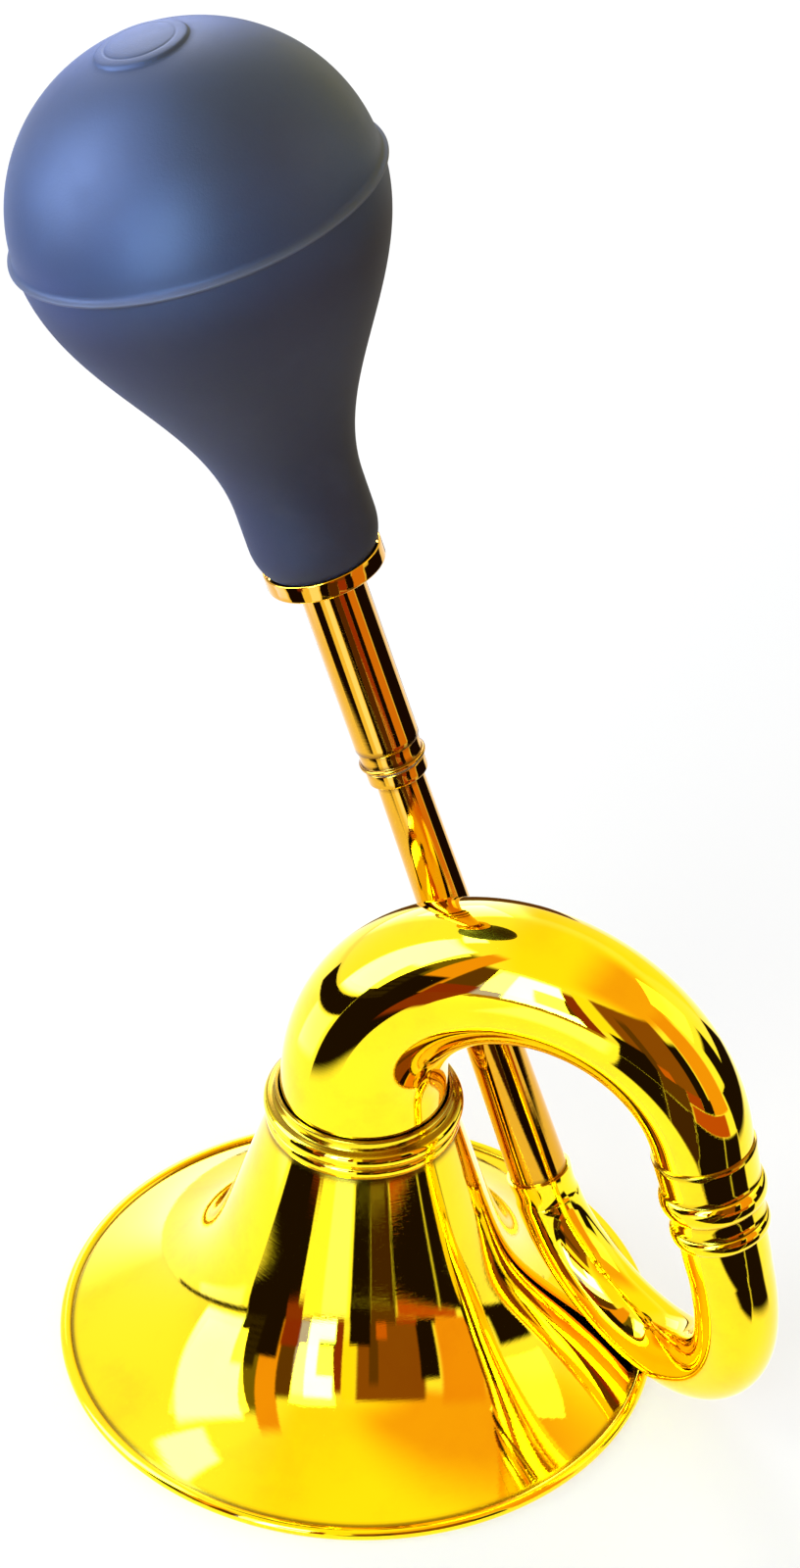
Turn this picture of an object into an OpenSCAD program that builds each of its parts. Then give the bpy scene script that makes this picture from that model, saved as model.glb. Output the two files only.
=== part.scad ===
// Bulb horn: a brass horn coiled once round, with a rubber squeeze bulb.
// Millimetres, +Z up. The bell stands on its rim at z = 0, on the Z axis.
// The main bow lies in the XZ plane; the lead pipe passes behind it, at +Y.

/* [Overall] */
// Height of the horn over all, standing on its bell
horn_h = 373.2; // [355:0.2:415]

/* [Bell] */
// Bell mouth, outside the rolled rim
bell_d = 160; // [140:1:190]
// Height of the bell, up to the top edge of its neck
bell_h = 77; // [65:1:95]
// Bell neck, outside
neck_d = 50; // [48:0.5:54]
// How fast the long throat widens, mm of radius per mm of height
throat_slope = 0.3; // [0.2:0.01:0.36]
// Sharpness of the flare near the mouth
flare_power = 6; // [5:0.5:10]
// Sheet of the bell
bell_wall = 0.8; // [0.6:0.1:1.2]
// Rolled rim, over all
rim_d = 3.4; // [3:0.1:4.5]
// Wire inside the rolled rim
wire_d = 1.6; // [1.2:0.1:2]
// Depth of the worn flat the rim stands on
rim_flat = 0.15; // [0.1:0.05:0.3]

/* [Neck ferrule] */
// Upper bead of the neck ferrule
neck_bead_d = 52.4; // [51:0.2:56]
// Step down from the upper bead to the lower one, on the radius
neck_bead_step = 0.6; // [0.3:0.1:1.2]
// Height of the lower bead
neck_low_h = 3.6; // [3:0.2:5]
// Height of the upper bead
neck_up_h = 4.6; // [3.5:0.2:6]
// Collar above the beads
neck_collar_h = 3; // [2:0.5:6]
// Spigot down into the bell
neck_spigot = 6.5; // [5:0.5:10]
// Depth of the bow in the ferrule, below the bell's top edge
bow_seat = 3; // [2:0.5:4.5]

/* [Main bow] */
// Bow at its large end
bow_big_d = 44.8; // [42:0.2:46]
// Bow at its small end
bow_small_d = 24.4; // [22:0.2:28]
// Bend of the bow's centre line
bow_r = 46.8; // [42:0.2:54]
// Straight part of the bow above its seat
bow_rise = 19.6; // [15:0.2:30]
// Straight part at the small end
bow_tail = 17.4; // [14:0.2:26]
// Lean of the bow's small end from upright
bow_lean = 14; // [6:0.5:20]
// How late the bow starts to taper
bow_taper = 1.3; // [1:0.1:1.8]
// Sheet of the bow
bow_wall = 0.8; // [0.6:0.1:1.2]

/* [Bow ferrule] */
// Upper bead of the bow ferrule
ferr_bead_d = 28.4; // [27.6:0.2:31]
// Lower bead of the bow ferrule
ferr_low_d = 26.4; // [25.6:0.2:28]
// Distance between the two beads
ferr_pitch = 11; // [9:0.5:14]
// Sleeve above the upper bead
ferr_sleeve = 13; // [9:0.5:15]
// Sheet of the sleeve
ferr_wall = 0.6; // [0.5:0.1:1]

/* [Lower bow] */
// Lower bow at its large end
low_big_d = 23; // [21:0.2:23.4]
// Straight part of the lower bow below the upper bead
low_drop = 26; // [20:0.5:32]
// Air between the lowest part of the lower bow and the level of the rim's top
low_air = 0.2; // [0.2:0.1:8]
// Reach of the bend on the pipe's side
bend_back = 38; // [34:1:42]
// Width across the bend, level with the upper bead
bend_w = 70.8; // [64:0.2:78]
// Lap of the lower bow over the lead pipe
lap = 8; // [6:0.5:14]
// Sheet of the lower bow
low_wall = 0.7; // [0.5:0.1:1]

/* [Lead pipe] */
// Lean of the lead pipe from upright
pipe_lean = 19.8; // [14:0.2:24]
// Lead pipe at its lower end
pipe_low_d = 16; // [14:0.2:16.4]
// Lead pipe at its upper end
pipe_top_d = 12.6; // [11.8:0.2:13]
// Length of pipe below the level of the upper bead
pipe_below = 48.5; // [42:0.5:54]
// Sheet of the lead pipe
pipe_wall = 0.8; // [0.6:0.1:1.1]
// Air between the lead pipe and the bow where they cross
pipe_gap = 1; // [0.6:0.1:3]

/* [Reed joint] */
// Ring on the end of the lead pipe
pipe_ring_d = 15.8; // [15.2:0.2:17.6]
// Height of that ring
pipe_ring_h = 4.2; // [3.4:0.2:7]
// Leather washer between the two rings
washer_t = 0.8; // [0.6:0.1:2]
// Ring on the end of the barrel
barrel_ring_d = 16.2; // [15.8:0.2:18]
// Height of that ring
barrel_ring_h = 5.2; // [4.6:0.2:8]
// Lip at that ring's lower end, beyond the ring
ring_lip = 0.7; // [0.4:0.1:1]
// Height of the lip
ring_lip_h = 1.1; // [0.8:0.1:1.6]
// Screwed spigot, over the thread
spigot_d = 12; // [11.4:0.1:12.4]
// Length of the screwed spigot
spigot_h = 9.8; // [9:0.2:13]
// Depth of the spigot's tail in the lead pipe
spigot_tail = 15; // [10:0.5:20]
// Bore of the spigot
spigot_bore = 8; // [7:0.2:8.4]
// Pitch of the thread
thread_pitch = 1.5; // [1:0.1:2]
// Play between the thread and its collar, on the radius
thread_play = 0.3; // [0.3:0.05:0.5]

/* [Barrel] */
// Barrel, outside
barrel_d = 17; // [16.4:0.2:17.6]
// Barrel wall
barrel_wall = 0.7; // [0.5:0.1:0.9]
// Barrel length above its ring
barrel_len = 54.8; // [44:0.2:70]
// Cup that carries the bulb
cup_d = 31; // [29:0.5:34]
// Height of the cup's edge
cup_h = 5; // [3.8:0.2:6]
// Depth of the cup's recess
cup_recess = 1.8; // [1.2:0.1:2]
// Wall of the cup's lip
cup_lip = 0.7; // [0.5:0.1:1]
// Nipple above the cup's floor
nipple_len = 32; // [26:0.5:36]
// Bead at the nipple's end, over the nipple
nipple_bead = 1.4; // [1:0.1:2]
// Nipple wall
nipple_wall = 1; // [0.7:0.1:1.2]

/* [Bulb] */
// Bulb at its seam
bulb_d = 94; // [84:1:104]
// Bulb neck
bulb_neck_d = 33.4; // [32:0.2:36]
// Length from the cup's floor to the seam
bulb_len = 102; // [98:0.5:116]
// Part of that length over which the bulb narrows
bulb_taper = 82; // [76:1:85]
// Flat end of the bulb's neck in the cup
bulb_end_d = 22.6; // [21.6:0.2:24]
// Height of the neck's rounded end
bulb_round = 10; // [9:0.5:13]
// Height of the dome above the seam
dome_h = 45.5; // [40:0.5:56]
// Rubber of the bulb
bulb_wall = 4; // [3:0.1:5]
// Moulded flash round the seam, beyond the bulb
flash = 1.4; // [0.8:0.1:2]
// Height of the flash
flash_h = 1.3; // [1:0.1:2]
// Moulded disc on top of the dome
disc_d = 24; // [18:1:30]
// Height of that disc
disc_h = 0.7; // [0.4:0.1:1.2]

/* [Reed] */
// Shallot, the half-round tube under the reed
shallot_d = 6.8; // [6:0.1:7]
// Shallot length
shallot_len = 30; // [24:0.5:34]
// Flat of the shallot, from its middle
shallot_flat = 1.5; // [1.2:0.1:1.7]
// Bore of the shallot
shallot_bore = 4; // [3:0.1:4.2]
// Slot in the shallot's flat, under the reed
shallot_slot = 1.8; // [1.4:0.1:2.2]
// Reed thickness
reed_t = 0.4; // [0.3:0.05:0.5]
// Reed width
reed_w = 3.6; // [3:0.1:4]
// Reed length above the block
reed_len = 24; // [18:0.5:26]
// Set of the reed away from its flat
reed_set = 3; // [2.8:0.1:3.4]
// Height of the reed block's head
block_h = 5; // [4:0.5:7]
// Play beside the reed, on each face
reed_play = 0.15; // [0.15:0.01:0.2]

/* [Fits] */
// Play of a soldered or pushed-in joint, on the radius
fit = 0.05; // [0.03:0.01:0.1]
// Play of the bulb's rubber round the nipple, on the radius
rubber_fit = 0.3; // [0.2:0.05:0.5]

/* [Hidden] */
$fn = 96;
brass = [0.83, 0.62, 0.22];
rubber = [0.10, 0.11, 0.13];
leather = [0.30, 0.19, 0.11];
steel = [0.55, 0.55, 0.56];
eps = 0.01;

// Bell
rim_r = bell_d / 2 - rim_d / 2;
rim_z = rim_d / 2 - rim_flat;
neck_mid = neck_d / 2 - bell_wall / 2;
flare = rim_r - neck_mid - throat_slope * (bell_h - rim_z);

// Bow
bow_z0 = bell_h - bow_seat;
bow_arc_z = bow_z0 + bow_rise;
bow_turn = 180 - bow_lean;
bow_arc = bow_r * bow_turn * PI / 180;
bow_len = bow_rise + bow_arc + bow_tail;
ferr_end = 1;
ferr_x = bow_r * (1 + cos(bow_lean)) + (bow_tail + ferr_end) * sin(bow_lean);
ferr_z = bow_arc_z + bow_r * sin(bow_lean) - (bow_tail + ferr_end) * cos(bow_lean);
function bow_rad(s) =
    bow_small_d / 2 + (bow_big_d - bow_small_d) / 2 * (1 - pow(s / bow_len, bow_taper));

// Pipe: local frame at the level of the upper bead, Z along the pipe.
// Its upper length follows from the height over all, less what stands on it.
pipe_x = ferr_x - bend_w;
disc_r = disc_d / 2;
disc_top = dome_h * sqrt(1 - pow(disc_d / bulb_d, 2)) + disc_h;
dome_rise = max(disc_top * cos(pipe_lean) + disc_r * sin(pipe_lean),
    norm([bulb_d / 2 * sin(pipe_lean), dome_h * cos(pipe_lean)]));
on_pipe = washer_t + barrel_ring_h + barrel_len + bulb_len;
pipe_above = (horn_h - ferr_z - dome_rise) / cos(pipe_lean) - on_pipe;
function pipe_rad(s) =
    pipe_low_d / 2 + (pipe_top_d - pipe_low_d) / 2 * (s + pipe_below) / (pipe_below + pipe_above);
// where the pipe crosses behind the bow's centre line
cross_b = (pipe_x - bow_r) * -sin(pipe_lean) + (ferr_z - bow_arc_z) * cos(pipe_lean);
cross_c = pow(pipe_x - bow_r, 2) + pow(ferr_z - bow_arc_z, 2) - bow_r * bow_r;
cross_s = -cross_b + sqrt(cross_b * cross_b - cross_c);
cross_phi = acos(1 - (pipe_x - cross_s * sin(pipe_lean)) / bow_r);
// and where it passes the neck ferrule's upper bead
pass_s = (bell_h + neck_low_h + neck_up_h / 2 - ferr_z) / cos(pipe_lean);
pass_r = neck_bead_d / 2 + pipe_rad(pass_s) + pipe_gap;
pass_x = pipe_x - pass_s * sin(pipe_lean);
pipe_y = max(bow_rad(bow_rise + bow_r * cross_phi * PI / 180) + pipe_rad(cross_s) + pipe_gap,
    sqrt(max(0, pass_r * pass_r - pass_x * pass_x)));

// Stations along the pipe's axis
ring_top = pipe_above;
collar_0 = ring_top + washer_t;
barrel_0 = collar_0 + barrel_ring_h;
cup_floor = barrel_0 + barrel_len;
cup_0 = cup_floor - (cup_h - cup_recess);
seam = cup_floor + bulb_len;
spigot_top = ring_top + spigot_h;
block_top = spigot_top + block_h;
barrel_bore = barrel_d - 2 * barrel_wall;
nipple_d = barrel_bore - 2 * fit;
nipple_flange = 0.6;

module ferr_frame() {
    translate([ferr_x, 0, ferr_z]) rotate([0, -bow_lean, 0]) children();
}

module pipe_frame() {
    translate([pipe_x, pipe_y, ferr_z]) rotate([0, -pipe_lean, 0]) children();
}

function ferr_point(z) = [ferr_x - z * sin(bow_lean), 0, ferr_z + z * cos(bow_lean)];
function pipe_point(z) = [pipe_x - z * sin(pipe_lean), pipe_y, ferr_z + z * cos(pipe_lean)];

// A hollow bent tube through stations: points, directions, outer and inner radii
function unit(v) = v / norm(v);

function hoop(c, t, b, r, n) =
    let (u = unit(b - (b * t) * t), v = cross(t, u))
    [for (k = [0 : n - 1]) c + r * (cos(360 * k / n) * u + sin(360 * k / n) * v)];

module bent_tube(at, dir, out, in, b, n) {
    m = len(at);
    o = m * n;
    skin = [for (i = [0 : m - 1]) each hoop(at[i], dir[i], b, out[i], n)];
    lining = [for (i = [0 : m - 1]) each hoop(at[i], dir[i], b, in[i], n)];
    outside = [for (i = [0 : m - 2]) for (k = [0 : n - 1])
        let (a = i * n + k, c = i * n + (k + 1) % n)
        each [[a, c + n, c], [a, a + n, c + n]]];
    inside = [for (i = [0 : m - 2]) for (k = [0 : n - 1])
        let (a = o + i * n + k, c = o + i * n + (k + 1) % n)
        each [[a, c, c + n], [a, c + n, a + n]]];
    first = [for (k = [0 : n - 1])
        let (c = (k + 1) % n)
        each [[k, c, o + c], [k, o + c, o + k]]];
    e = (m - 1) * n;
    last = [for (k = [0 : n - 1])
        let (a = e + k, c = e + (k + 1) % n)
        each [[a, o + c, c], [a, o + a, o + c]]];
    polyhedron(concat(skin, lining), concat(outside, inside, first, last), convexity = 8);
}

// Bell: spun sheet, mid-line as cone plus power flare, offset to both faces
function bell_mid(w) = let (z = bell_h - w * (bell_h - rim_z))
    [neck_mid + throat_slope * (bell_h - z) + flare * pow(w, flare_power), z];

function bell_normal(w) =
    let (k = throat_slope + flare * flare_power * pow(w, flare_power - 1) / (bell_h - rim_z))
    [1, k] / sqrt(1 + k * k);

function bell_step(i) = 1 - pow(1 - i / 30, 1.7);

function rim_arc(a0, a1, n) =
    [for (i = [0 : n]) let (a = a0 + (a1 - a0) * i / n)
        [rim_r + rim_d / 2 * cos(a), rim_z + rim_d / 2 * sin(a)]];

// The sheet runs into the rolled rim, which has a flat underneath to stand on
module bell_profile() {
    outer = [for (i = [0 : 30]) let (w = bell_step(i)) bell_mid(w) + bell_wall / 2 * bell_normal(w)];
    inner = [for (i = [30 : -1 : 0]) let (w = bell_step(i)) bell_mid(w) - bell_wall / 2 * bell_normal(w)];
    top_o = [neck_d / 2, bell_h];
    top_i = [neck_d / 2 - bell_wall, bell_h];
    near = rim_d / 2 + 0.3;
    come = 180 - atan(bell_normal(1)[0] / bell_normal(1)[1]);
    half = asin(bell_wall / rim_d);
    flat = acos(rim_z / (rim_d / 2));
    difference() {
        polygon(concat([top_o],
            [for (p = outer) if (p[1] < bell_h - 0.3 && norm(p - [rim_r, rim_z]) > near) p],
            rim_arc(come - half, flat - 90, 22), rim_arc(-90 - flat, come + half - 360, 6),
            [for (p = inner) if (p[1] < bell_h - 0.3 && norm(p - [rim_r, rim_z]) > near) p],
            [top_i]));
        translate([rim_r, rim_z]) circle(d = wire_d + 2 * fit, $fn = 36);
    }
}

module bell() {
    color(brass) rotate_extrude($fn = 128) bell_profile();
}

module rim_wire() {
    color(steel) rotate_extrude($fn = 128) translate([rim_r, rim_z]) circle(d = wire_d, $fn = 36);
}

// A half-round bead as profile points, from z0 up over h, standing out from r0 to r1
function bead(r0, r1, z0, h) =
    [for (a = [-90 : 15 : 90]) [r0 + (r1 - r0) * cos(a), z0 + h / 2 + h / 2 * sin(a)]];

module neck_ferrule() {
    bore = bow_big_d / 2 + fit;
    tail = neck_d / 2 - bell_wall - fit;
    up = neck_bead_d / 2;
    low = up - neck_bead_step;
    z1 = bell_h + neck_low_h;
    z2 = z1 + neck_up_h;
    z3 = z2 + neck_collar_h;
    groove = neck_d / 2 - 0.3;
    collar = bore + 0.9;
    ledge = bow_big_d / 2 - bow_wall;
    color(brass) rotate_extrude() polygon(concat(
        [[ledge, bell_h - neck_spigot], [tail, bell_h - neck_spigot], [tail, bell_h], [groove, bell_h]],
        bead(groove, low, bell_h, neck_low_h),
        bead(groove, up, z1, neck_up_h),
        [[collar, z2], [collar, z3], [bore, z3], [bore, bow_z0], [ledge, bow_z0]]));
}

module main_bow() {
    turn_steps = 32;
    rise_s = [0, bow_rise * 0.5];
    arc_s = [for (i = [0 : turn_steps]) bow_rise + bow_arc * i / turn_steps];
    tail_s = [bow_len - bow_tail / 2, bow_len];
    s = concat(rise_s, arc_s, tail_s);
    at = [for (v = s) bow_point(v)];
    dir = [for (v = s) bow_dir(v)];
    out = [for (v = s) bow_rad(v)];
    in = [for (r = out) r - bow_wall];
    color(brass) bent_tube(at, dir, out, in, [0, 1, 0], 40);
}

function bow_phi(s) = max(0, min(bow_turn, (s - bow_rise) / bow_r * 180 / PI));
function bow_dir(s) = [sin(bow_phi(s)), 0, cos(bow_phi(s))];
function bow_point(s) =
    s < bow_rise ? [0, 0, bow_z0 + s] :
    let (p = bow_phi(s), rest = max(0, s - bow_rise - bow_arc))
    [bow_r * (1 - cos(p)), 0, bow_arc_z + bow_r * sin(p)] + rest * bow_dir(s);

module bow_ferrule() {
    top = ferr_end + ferr_sleeve;
    bore_0 = bow_small_d / 2 + fit;
    bore_1 = bow_rad(bow_len - ferr_sleeve) + fit + 0.12;
    low_bore = low_big_d / 2 + fit;
    low_0 = -ferr_pitch - 2;
    rib = low_big_d / 2 - low_wall;
    skin = max(low_bore, bore_0 - 0.4) + ferr_wall;
    color(brass) ferr_frame() rotate_extrude() polygon(concat(
        [[low_bore, low_0], [low_bore + ferr_wall, low_0]],
        bead(low_bore + ferr_wall, ferr_low_d / 2, low_0, 4.4),
        [[skin, low_0 + 5], [skin, -3.4]],
        bead(skin + 0.1, ferr_bead_d / 2, -3.4, 6.8),
        [[bore_0 + ferr_wall + 0.3, 3.6], [bore_1 + ferr_wall, top], [bore_1, top], [bore_0, ferr_end],
         [rib, ferr_end], [rib, -ferr_end], [low_bore, -ferr_end]]));
}

// Lower bow: straight, then one curve from the ferrule's axis to the pipe's, then the lap.
// On the bow's side the curve reaches down as far as the air over rim and flare allows,
// and on the pipe's side it ends higher where the flare would be in its way.
low_small = pipe_rad(-pipe_below) + fit + low_wall;
low_leg = low_big_d / 2 - (low_big_d / 2 - low_small) * 0.1;
function low_rad(t) = low_leg + (low_small - low_leg) * t;
low_floor = rim_z + rim_d / 2 + low_air;
// the pipe stops against a small step in the lower bow's bore
bore_step = 0.3;
pipe_stop = 0.4;
function bend_ends(front, lift) = [ferr_point(-low_drop), ferr_point(-low_drop - front),
    pipe_point(lift - pipe_below - bend_back), pipe_point(lift - pipe_below)];
function bend_by(t, q) = pow(1 - t, 3) * q[0] + 3 * t * pow(1 - t, 2) * q[1]
    + 3 * t * t * (1 - t) * q[2] + pow(t, 3) * q[3];
// height of a ball of radius r that rests on the flare, with its middle x from the bell's axis
function on_flare(x, r) = max([for (i = [0 : 30])
    let (w = bell_step(i), p = bell_mid(w) + bell_wall / 2 * bell_normal(w), d = r * r - pow(x - p[0], 2))
    d > 0 ? p[1] + sqrt(d) : 0]);
function bend_short(t, p) =
    max(low_floor + low_rad(t), on_flare(norm([p[0], p[1]]), low_rad(t) + low_air)) - p[2];
function bend_fit(front, lift, tries) = tries == 0 ? [front, lift] :
    let (q = bend_ends(front, lift),
        deeper = min([for (i = [1 : 42]) let (t = i / 60)
            -bend_short(t, bend_by(t, q)) / (3 * t * pow(1 - t, 2) * cos(bow_lean))]),
        higher = max([for (i = [43 : 59]) bend_short(i / 60, bend_by(i / 60, q))]))
    bend_fit(front + deeper, lift + max(0, higher) / 2, tries - 1);
bend_found = bend_fit(1.8 * bend_back, 0, 60);
pipe_foot = bend_found[1] - pipe_below;
bend = bend_ends(bend_found[0], bend_found[1]);
function bend_at(t) = bend_by(t, bend);
function bend_dir(t) = unit(pow(1 - t, 2) * (bend[1] - bend[0]) + 2 * t * (1 - t) * (bend[2] - bend[1])
    + t * t * (bend[3] - bend[2]));

module lower_bow() {
    steps = 30;
    down = ferr_point(-1) - ferr_point(0);
    along = pipe_point(1) - pipe_point(0);
    big = low_big_d / 2;
    side = unit(cross(bend[1] - bend[0], bend[3] - bend[0]));
    bore = low_small - low_wall;
    at = concat([ferr_point(-ferr_end)], [for (i = [0 : steps]) bend_at(i / steps)],
        [pipe_point(pipe_foot + pipe_stop), pipe_point(pipe_foot + lap)]);
    dir = concat([down], [for (i = [0 : steps]) bend_dir(i / steps)], [along, along]);
    out = concat([big], [for (i = [0 : steps]) low_rad(i / steps)], [low_small, low_small]);
    in = concat([big - low_wall],
        [for (i = [0 : steps]) low_rad(i / steps) - low_wall - bore_step * i / steps], [bore, bore]);
    color(brass) bent_tube(at, dir, out, in, side, 32);
}

module lead_pipe() {
    bottom = pipe_foot + pipe_stop;
    run = pipe_above - bottom;
    color(brass) pipe_frame() translate([0, 0, bottom]) difference() {
        cylinder(h = run, r1 = pipe_rad(bottom), r2 = pipe_top_d / 2);
        translate([0, 0, -eps]) cylinder(h = run + 2 * eps, r1 = pipe_rad(bottom) - pipe_wall,
            r2 = pipe_top_d / 2 - pipe_wall);
    }
}

module pipe_ring() {
    z0 = ring_top - pipe_ring_h;
    r = pipe_ring_d / 2;
    color(brass) pipe_frame() rotate_extrude() polygon([
        [pipe_rad(z0) + fit, z0], [r - 0.5, z0], [r, z0 + 0.6], [r, ring_top - 0.6],
        [r - 0.5, ring_top], [pipe_top_d / 2 + fit, ring_top]]);
}

// Spigot: the thread is shown by ring grooves one pitch apart
module spigot() {
    r = spigot_d / 2;
    tail = pipe_top_d / 2 - pipe_wall - fit;
    turns = floor((spigot_h - 2.4) / thread_pitch);
    crest = [for (i = [0 : turns - 1]) let (z = ring_top + 1.2 + i * thread_pitch)
        each [[r, z], [r - 0.45 * thread_pitch * 0.8, z + thread_pitch / 2], [r, z + thread_pitch]]];
    color(brass) pipe_frame() rotate_extrude() polygon(concat(
        [[spigot_bore / 2, ring_top - spigot_tail], [tail, ring_top - spigot_tail], [tail, ring_top],
         [r, ring_top]],
        crest,
        [[r, spigot_top - 0.4], [r - 0.4, spigot_top], [spigot_bore / 2, spigot_top]]));
}

module reed_block() {
    head = spigot_d / 2 - 0.5;
    plug = spigot_bore / 2 - fit;
    seat = shallot_d / 2 + fit;
    color(brass) pipe_frame() rotate_extrude() polygon([
        [shallot_bore / 2, spigot_top - 6], [plug, spigot_top - 6], [plug, spigot_top], [head, spigot_top],
        [head, block_top - 0.4], [head - 0.4, block_top], [seat, block_top], [seat, spigot_top + 1],
        [shallot_bore / 2, spigot_top + 1]]);
}

module reed_shallot() {
    z0 = spigot_top + 1;
    z1 = z0 + shallot_len;
    color(brass) pipe_frame() difference() {
        intersection() {
            translate([0, 0, z0]) cylinder(d = shallot_d, h = shallot_len);
            translate([shallot_flat - shallot_d, -shallot_d, z0 - eps])
                cube([shallot_d, 2 * shallot_d, shallot_len + 2 * eps]);
        }
        translate([-0.3, 0, z0 - eps]) cylinder(d = shallot_bore - 1, h = shallot_len - 2);
        translate([-0.3, -shallot_slot / 2, block_top + 2])
            cube([shallot_d, shallot_slot, z1 - block_top - 6]);
    }
}

module reed_wedge() {
    x = shallot_flat + 2 * reed_play + reed_t + 0.15;
    z0 = spigot_top + 1;
    out = sqrt(pow(shallot_d / 2, 2) - pow(1.2, 2));
    color(brass) pipe_frame() translate([0, 1.2, z0]) rotate([90, 0, 0])
        linear_extrude(2.4) polygon([[x, 0], [out, 0], [out, block_h + 0.6], [x, block_h - 0.2]]);
}

// Reed: upright in the block, then set away from the flat
module reed_tongue() {
    x = shallot_flat + reed_play;
    root = spigot_top + 1.3;
    tip = [reed_len * sin(reed_set), reed_len * cos(reed_set)];
    color(brass) pipe_frame() translate([0, reed_w / 2, 0]) rotate([90, 0, 0])
        linear_extrude(reed_w) polygon([[x, root], [x + reed_t, root], [x + reed_t, block_top],
            [x + reed_t, block_top] + tip, [x, block_top] + tip, [x, block_top]]);
}

module joint_washer() {
    color(leather) pipe_frame() translate([0, 0, ring_top]) difference() {
        cylinder(d = pipe_ring_d, h = washer_t);
        translate([0, 0, -1]) cylinder(r = spigot_d / 2 + thread_play, h = washer_t + 2);
    }
}

module barrel_ring() {
    r = barrel_ring_d / 2;
    bore = spigot_d / 2 + thread_play;
    sleeve = barrel_bore / 2 - fit;
    lip = r + ring_lip;
    z1 = barrel_0;
    step = collar_0 + ring_lip_h;
    color(brass) pipe_frame() rotate_extrude() polygon([
        [bore, collar_0], [lip - 0.3, collar_0], [lip, collar_0 + 0.3], [lip, step - 0.3], [lip - 0.3, step],
        [r, step], [r, z1 - 0.3], [r - 0.2, z1], [sleeve, z1], [sleeve, z1 + 5], [bore, z1 + 5]]);
}

module barrel() {
    color(brass) pipe_frame() translate([0, 0, barrel_0]) difference() {
        cylinder(d = barrel_d, h = barrel_len);
        translate([0, 0, -1]) cylinder(d = barrel_bore, h = barrel_len + 2);
    }
}

module bulb_cup() {
    r = cup_d / 2;
    bore = barrel_d / 2 + fit;
    color(brass) pipe_frame() rotate_extrude() polygon([
        [bore, cup_0 - 1.6], [bore + 0.8, cup_0 - 1.6], [bore + 2.2, cup_0], [r - 0.5, cup_0],
        [r, cup_0 + 0.5], [r, cup_floor + cup_recess - 0.3], [r - cup_lip / 2, cup_floor + cup_recess],
        [r - cup_lip, cup_floor + cup_recess], [r - cup_lip, cup_floor], [bore, cup_floor]]);
}

module bulb_nipple() {
    r = nipple_d / 2;
    bore = r - nipple_wall;
    top = cup_floor + nipple_len;
    color(brass) pipe_frame() rotate_extrude() polygon(concat(
        [[bore, cup_floor - 9], [r, cup_floor - 9], [r, cup_floor], [barrel_d / 2, cup_floor],
         [barrel_d / 2, cup_floor + nipple_flange], [r, cup_floor + nipple_flange]],
        bead(r, r + nipple_bead, top - 3.4, 3.4),
        [[bore, top]]));
}

// Bulb: cosine swell from neck to seam, then a part of an ellipse
function base_rad(u) = u > bulb_taper ? bulb_neck_d / 2 :
    bulb_neck_d / 2 + (bulb_d - bulb_neck_d) / 4 * (1 + cos(180 * u / bulb_taper));

module bulb_base() {
    steps = 26;
    bore = nipple_d / 2 + rubber_fit;
    er = bulb_end_d / 2;
    nr = bulb_neck_d / 2;
    wide = barrel_d / 2 + rubber_fit;
    swell = [for (i = [0 : steps]) let (u = bulb_taper * i / steps) [base_rad(u), seam - u]];
    round = [for (a = [90 : -10 : 10])
        [er + (nr - er) * sin(a), cup_floor + bulb_round * (1 - cos(a))]];
    cave_end = bulb_len - nipple_len + 3;
    cave = [for (i = [steps : -1 : 0]) let (u = (cave_end - 4) * i / steps)
        [base_rad(u) - bulb_wall, seam - u]];
    color(rubber) pipe_frame() rotate_extrude() polygon(concat(
        swell, round, [[er, cup_floor], [wide, cup_floor], [wide, cup_floor + nipple_flange + 0.3],
        [bore, cup_floor + nipple_flange + 0.9], [bore, seam - cave_end - 4]], cave));
}

module bulb_dome() {
    rs = bulb_d / 2;
    foot = flash_h + 0.6;
    rd = disc_r;
    function dome_z(r, k) = (dome_h - k) * sqrt(max(0, 1 - pow(r / (rs - k), 2)));
    a1 = acos(rd / rs);
    skin = [for (i = [1 : 18]) let (a = 4 + (a1 - 4) * i / 18) [rs * cos(a), dome_h * sin(a)]];
    disc = [for (r = [rd, rd - 2.4, rd - 2.9, rd - 3.4, rd * 0.4, 0])
        [r, dome_z(r, 0) + disc_h - (r == rd - 2.9 ? 0.4 : 0)]];
    k = bulb_wall;
    hollow = [for (i = [0 : 18]) let (a = 90 - 5 * i) [(rs - k) * cos(a), (dome_h - k) * sin(a)]];
    color(rubber) pipe_frame() translate([0, 0, seam]) rotate_extrude() polygon(concat(
        [[rs + flash - 0.4, 0], [rs + flash, 0.4], [rs + flash, flash_h - 0.4], [rs + flash - 0.6, flash_h],
         [rs * cos(2), foot]],
        skin, disc, hollow));
}

bell();
rim_wire();
neck_ferrule();
main_bow();
bow_ferrule();
lower_bow();
lead_pipe();
pipe_ring();
spigot();
reed_block();
reed_shallot();
reed_wedge();
reed_tongue();
joint_washer();
barrel_ring();
barrel();
bulb_cup();
bulb_nipple();
bulb_base();
bulb_dome();
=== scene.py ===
"""Bulb horn: the looks of a coiled brass horn with a rubber bulb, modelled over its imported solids."""
import math

import bpy
from mathutils import Matrix, Vector


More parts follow.
